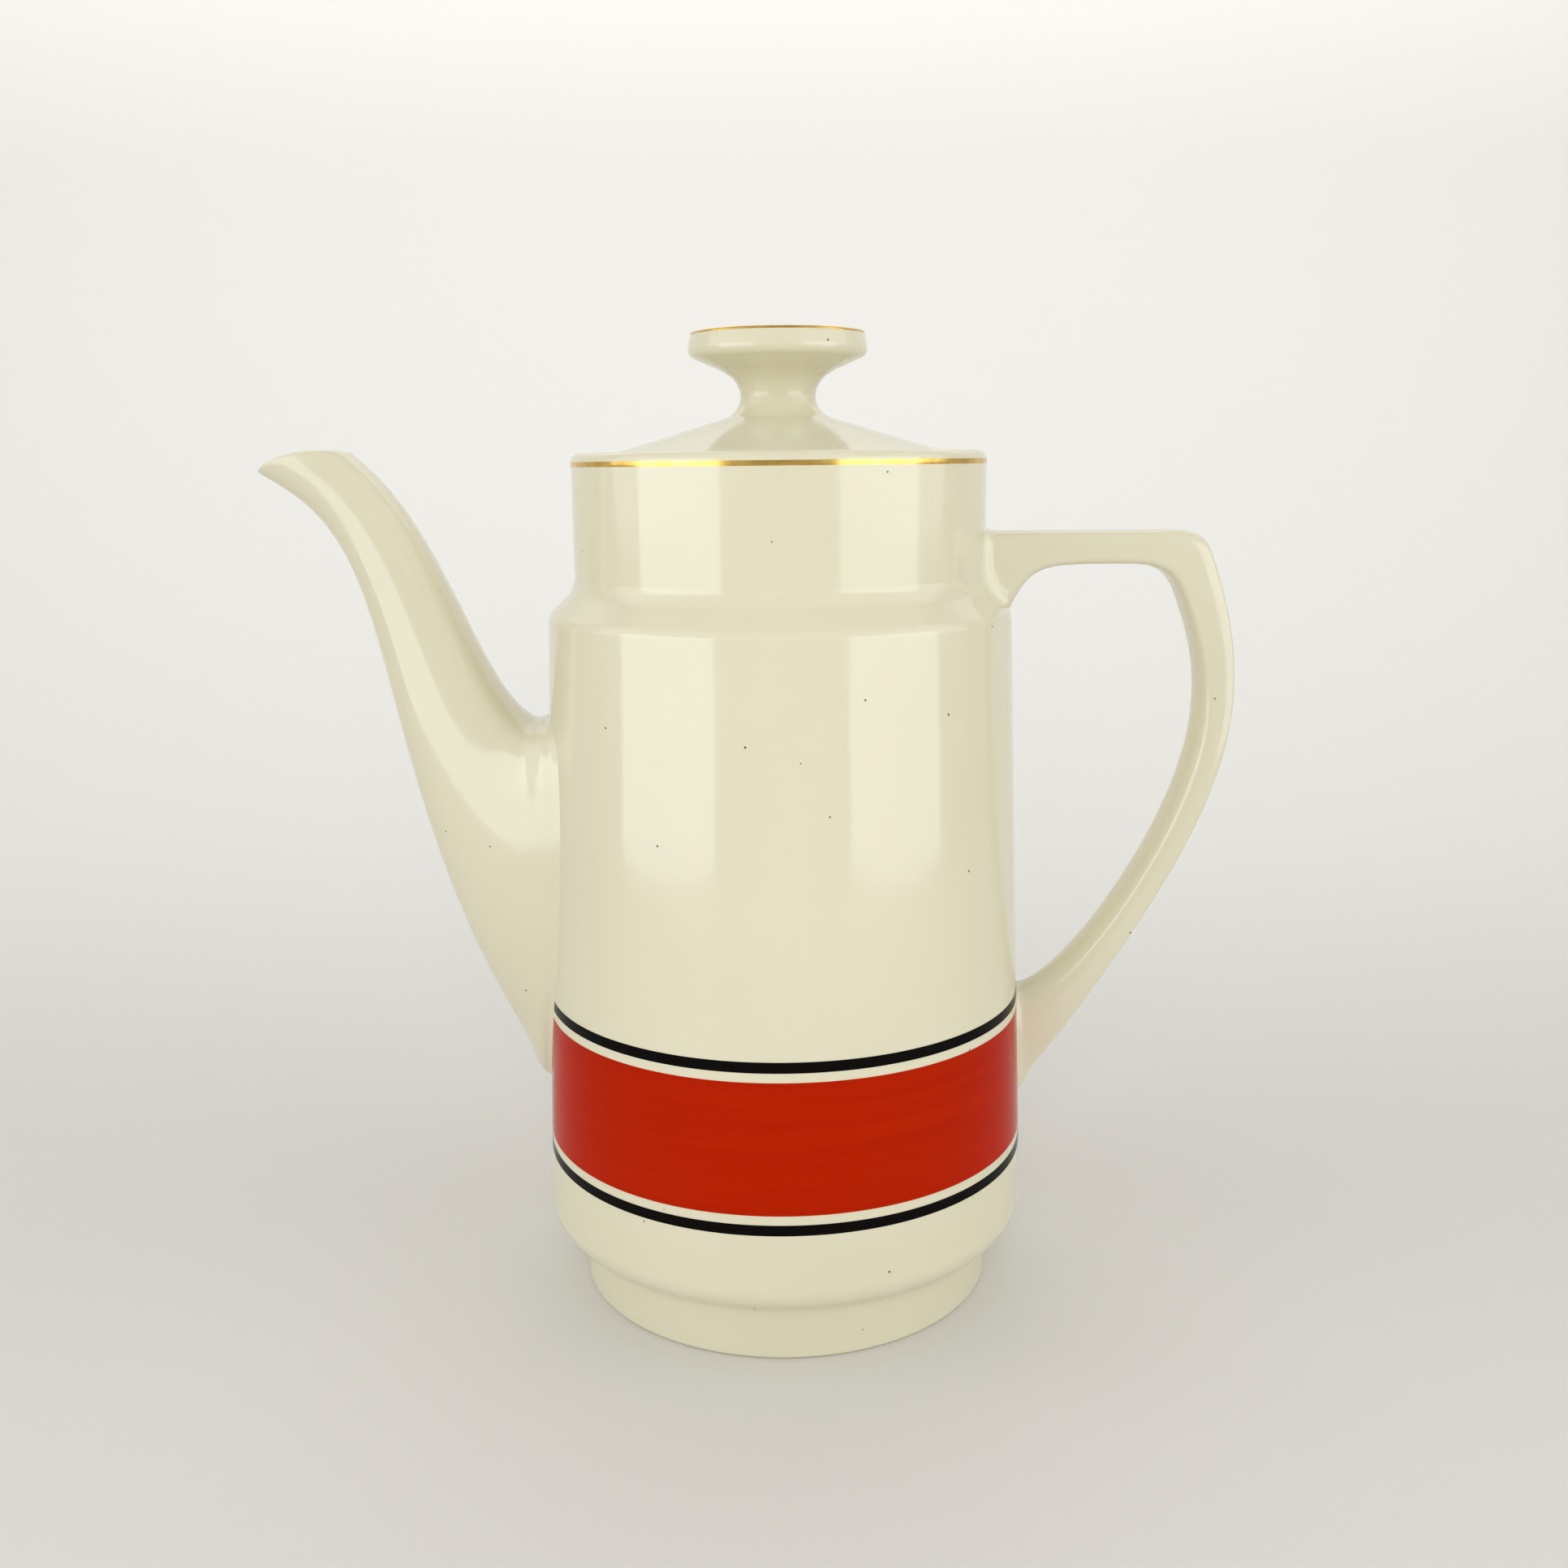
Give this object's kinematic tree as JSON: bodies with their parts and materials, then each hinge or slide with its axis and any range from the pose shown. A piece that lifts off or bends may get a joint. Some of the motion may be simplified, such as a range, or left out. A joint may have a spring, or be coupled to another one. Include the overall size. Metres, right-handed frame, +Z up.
{
  "type": "coffee pot",
  "caption": "Tall tapered ceramic coffee pot with a curved pouring spout, a bent side handle and a conical lift-off lid with a mushroom knob, banded in red, black and gold.",
  "frame": {"origin": "middle of the whole object's footprint, on the plane of the foot ring's standing face", "axes": "+Z up, spout towards -X, handle towards +X, front towards -Y"},
  "size_m": [0.2252, 0.1154, 0.2244],
  "materials": {
    "cream_glaze": "glossy cream glaze over cast earthenware",
    "red_enamel": "glossy fired orange-red enamel",
    "black_enamel": "glossy fired black enamel",
    "fired_gold": "bright fired gold"
  },
  "bodies": {
    "pot": {"pot_foot": "cream_glaze", "pot_body": "cream_glaze", "pot_neck": "cream_glaze", "spout": "cream_glaze", "handle": "cream_glaze", "red_band": "red_enamel", "upper_black_line": "black_enamel", "lower_black_line": "black_enamel", "rim_gold_line": "fired_gold"},
    "lid": {"lid": "cream_glaze", "lid_knob": "cream_glaze", "knob_gold_line": "fired_gold"}
  },
  "joints": [
    {"name": "lid_lift", "type": "slide", "parent": "pot", "child": "lid", "axis": [0, 0, 1], "range_m": [0, 0.06]}
  ]
}
